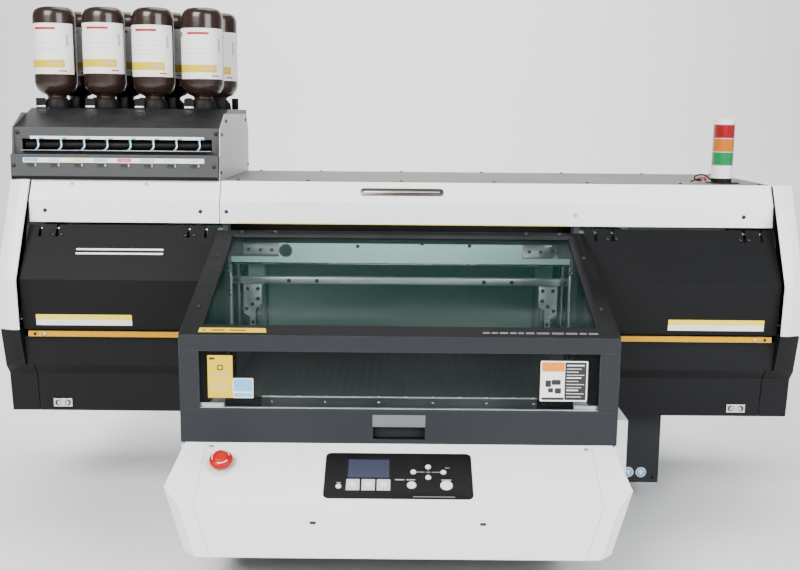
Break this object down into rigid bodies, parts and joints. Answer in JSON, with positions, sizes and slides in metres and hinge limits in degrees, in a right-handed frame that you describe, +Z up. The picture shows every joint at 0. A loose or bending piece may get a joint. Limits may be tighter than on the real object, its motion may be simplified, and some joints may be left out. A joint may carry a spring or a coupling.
{
  "type": "flatbed uv printer",
  "caption": "Flatbed inkjet printer with sliding table, lifting gantry, scanning carriage, hinged hood and side covers, ink bottles and signal tower.",
  "frame": {"origin": "on the floor under the middle of the machine", "axes": "+X to the operator's right, +Y to the back, +Z up"},
  "size_m": [1.665, 1.2894, 1.078],
  "materials": {
    "white_enamel": "satin white powder coat",
    "grey_deck": "warm grey powder coat",
    "light_enamel": "satin light grey powder coat",
    "rear_enamel": "satin light grey powder coat",
    "dark_enamel": "satin charcoal powder coat",
    "hood_enamel": "satin slate powder coat",
    "ink_enamel": "dark satin powder coat",
    "frame_steel": "dark textured powder coat",
    "bright_steel": "ground bright steel",
    "aluminium": "milled, clear anodised",
    "black_anodised": "black anodised, grooved",
    "black_paint": "gloss black",
    "motor_steel": "matte black",
    "yellow_plastic": "warm yellow",
    "tinted_pane": "teal tinted acrylic",
    "smoke_pane": "smoky acrylic",
    "panel_film": "black film with thin lines",
    "display": "olive display",
    "key_plastic": "grey key caps",
    "stop_red": "red mushroom head",
    "tower_white": "white",
    "red_lens": "red translucent",
    "amber_lens": "amber translucent",
    "green_lens": "green translucent",
    "blue_tube": "blue and white tubing",
    "carriage_shell": "light grey",
    "black_rubber": "moulded",
    "bottle_plastic": "dark brown bottles"
  },
  "bodies": {
    "frame": {"base_frame": "frame_steel", "base_shell": "white_enamel", "levelling_feet": "bright_steel", "table_rails": "bright_steel", "lift_posts": "bright_steel", "drive_motors": "motor_steel", "deck_cover": "grey_deck", "front_fascias": "white_enamel", "end_caps": "white_enamel", "lower_covers": "dark_enamel", "yellow_strips": "yellow_plastic", "rear_covers": "rear_enamel", "electrical_box": "dark_enamel", "operator_box": "light_enamel", "control_panel": "panel_film", "lcd_window": "display", "tower_base": "tower_white", "red_lens": "red_lens", "amber_lens": "amber_lens", "green_lens": "green_lens", "ink_tray": "ink_enamel", "ink_housing": "ink_enamel", "ink_metalwork": "bright_steel", "ink_tubes": "blue_tube", "pins_and_screws": "bright_steel"},
    "hood": {"hood_frame": "hood_enamel", "hood_glass": "tinted_pane", "hood_window": "smoke_pane"},
    "stay_tubes": {"stay_tubes": "black_paint"},
    "stay_rods": {"stay_rods": "bright_steel"},
    "left_cover": {"left_cover": "dark_enamel"},
    "right_cover": {"right_cover": "dark_enamel"},
    "gantry": {"gantry_beam": "aluminium", "carriage_rail": "bright_steel", "drive_belt": "black_rubber", "capping_base": "frame_steel"},
    "caps": {"cap_pads": "black_rubber"},
    "carriage": {"carriage_body": "carriage_shell", "print_heads": "aluminium", "uv_lamps": "black_paint"},
    "drive_pulley": {"drive_pulley": "aluminium"},
    "idle_pulley": {"idle_pulley": "aluminium"},
    "left_lift_screw": {"left_lift_screw": "bright_steel"},
    "right_lift_screw": {"right_lift_screw": "bright_steel"},
    "table": {"table_saddle": "aluminium", "table_top": "black_anodised"},
    "table_screw": {"table_screw": "bright_steel"},
    "front_bottles": {"front_bottles": "bottle_plastic"},
    "back_bottles": {"back_bottles": "bottle_plastic"},
    "soft_key_left": {"soft_key_left": "key_plastic"},
    "soft_key_middle": {"soft_key_middle": "key_plastic"},
    "soft_key_right": {"soft_key_right": "key_plastic"},
    "function_key": {"function_key": "key_plastic"},
    "up_key": {"up_key": "key_plastic"},
    "down_key": {"down_key": "key_plastic"},
    "left_key": {"left_key": "key_plastic"},
    "right_key": {"right_key": "key_plastic"},
    "test_key": {"test_key": "key_plastic"},
    "enter_key": {"enter_key": "key_plastic"},
    "stop_button": {"stop_button": "stop_red"}
  },
  "joints": [
    {"name": "hood_hinge", "type": "hinge", "parent": "frame", "child": "hood", "pos_m": [0, -0.1, 0.594], "axis": [-1, 0, 0], "range_deg": [0, 62]},
    {"name": "stay_swing", "type": "hinge", "parent": "frame", "child": "stay_tubes", "pos_m": [0, -0.095, 0.25], "axis": [1, 0, 0], "range_deg": [0, 10.73]},
    {"name": "stay_extend", "type": "slide", "parent": "stay_tubes", "child": "stay_rods", "axis": [0, -0.0366, 0.9993], "range_m": [0, 0.0506]},
    {"name": "left_cover_hinge", "type": "hinge", "parent": "frame", "child": "left_cover", "pos_m": [0, -0.086, 0.603], "axis": [-1, 0, 0], "range_deg": [0, 80]},
    {"name": "right_cover_hinge", "type": "hinge", "parent": "frame", "child": "right_cover", "pos_m": [0, -0.086, 0.603], "axis": [-1, 0, 0], "range_deg": [0, 80]},
    {"name": "gantry_lift", "type": "slide", "parent": "frame", "child": "gantry", "axis": [0, 0, 1], "range_m": [-0.15, 0]},
    {"name": "left_screw_turn", "type": "hinge", "parent": "frame", "child": "left_lift_screw", "pos_m": [-0.347, 0.215, 0.458], "axis": [0, 0, 1], "continuous": true},
    {"name": "right_screw_turn", "type": "hinge", "parent": "frame", "child": "right_lift_screw", "pos_m": [0.347, 0.215, 0.458], "axis": [0, 0, 1], "continuous": true},
    {"name": "cap_lift", "type": "slide", "parent": "gantry", "child": "caps", "axis": [0, 0, 1], "range_m": [-0.01, 0]},
    {"name": "carriage_scan", "type": "slide", "parent": "gantry", "child": "carriage", "axis": [1, 0, 0], "range_m": [-1.2, 0]},
    {"name": "drive_pulley_turn", "type": "hinge", "parent": "gantry", "child": "drive_pulley", "pos_m": [0.745, 0.103, 0.65], "axis": [0, 1, 0], "continuous": true},
    {"name": "idle_pulley_turn", "type": "hinge", "parent": "gantry", "child": "idle_pulley", "pos_m": [-0.745, 0.103, 0.65], "axis": [0, 1, 0], "continuous": true},
    {"name": "table_travel", "type": "slide", "parent": "frame", "child": "table", "axis": [0, 1, 0], "range_m": [0, 0.54]},
    {"name": "table_screw_turn", "type": "hinge", "parent": "frame", "child": "table_screw", "pos_m": [0, 0.04, 0.112], "axis": [0, 1, 0], "continuous": true},
    {"name": "front_bottle_lift", "type": "slide", "parent": "frame", "child": "front_bottles", "axis": [0, 0, 1], "range_m": [0, 0.12]},
    {"name": "back_bottle_lift", "type": "slide", "parent": "frame", "child": "back_bottles", "axis": [0, 0, 1], "range_m": [0, 0.12]},
    {"name": "soft_key_left_press", "type": "slide", "parent": "frame", "child": "soft_key_left", "axis": [0, 0.4493, -0.8934], "range_m": [0, 0.001], "stiffness_N_per_m": 600},
    {"name": "soft_key_middle_press", "type": "slide", "parent": "frame", "child": "soft_key_middle", "axis": [0, 0.4493, -0.8934], "range_m": [0, 0.001], "stiffness_N_per_m": 600},
    {"name": "soft_key_right_press", "type": "slide", "parent": "frame", "child": "soft_key_right", "axis": [0, 0.4493, -0.8934], "range_m": [0, 0.001], "stiffness_N_per_m": 600},
    {"name": "function_key_press", "type": "slide", "parent": "frame", "child": "function_key", "axis": [0, 0.4493, -0.8934], "range_m": [0, 0.001], "stiffness_N_per_m": 600},
    {"name": "up_key_press", "type": "slide", "parent": "frame", "child": "up_key", "axis": [0, 0.4493, -0.8934], "range_m": [0, 0.001], "stiffness_N_per_m": 600},
    {"name": "down_key_press", "type": "slide", "parent": "frame", "child": "down_key", "axis": [0, 0.4493, -0.8934], "range_m": [0, 0.001], "stiffness_N_per_m": 600},
    {"name": "left_key_press", "type": "slide", "parent": "frame", "child": "left_key", "axis": [0, 0.4493, -0.8934], "range_m": [0, 0.001], "stiffness_N_per_m": 600},
    {"name": "right_key_press", "type": "slide", "parent": "frame", "child": "right_key", "axis": [0, 0.4493, -0.8934], "range_m": [0, 0.001], "stiffness_N_per_m": 600},
    {"name": "test_key_press", "type": "slide", "parent": "frame", "child": "test_key", "axis": [0, 0.4493, -0.8934], "range_m": [0, 0.001], "stiffness_N_per_m": 600},
    {"name": "enter_key_press", "type": "slide", "parent": "frame", "child": "enter_key", "axis": [0, 0.4493, -0.8934], "range_m": [0, 0.001], "stiffness_N_per_m": 600},
    {"name": "stop_button_press", "type": "slide", "parent": "frame", "child": "stop_button", "axis": [0, 0.4493, -0.8934], "range_m": [0, 0.005]}
  ],
  "couplings": [
    {"joint": "stay_swing", "follows": "hood_hinge", "ratio": 0.16829},
    {"joint": "stay_extend", "follows": "hood_hinge", "m_per_rad": 0.04583},
    {"joint": "left_screw_turn", "follows": "gantry_lift", "rad_per_m": 628.32},
    {"joint": "right_screw_turn", "follows": "gantry_lift", "rad_per_m": 628.32},
    {"joint": "drive_pulley_turn", "follows": "carriage_scan", "rad_per_m": -82.645},
    {"joint": "idle_pulley_turn", "follows": "carriage_scan", "rad_per_m": -82.645},
    {"joint": "table_screw_turn", "follows": "table_travel", "rad_per_m": 314.16}
  ]
}
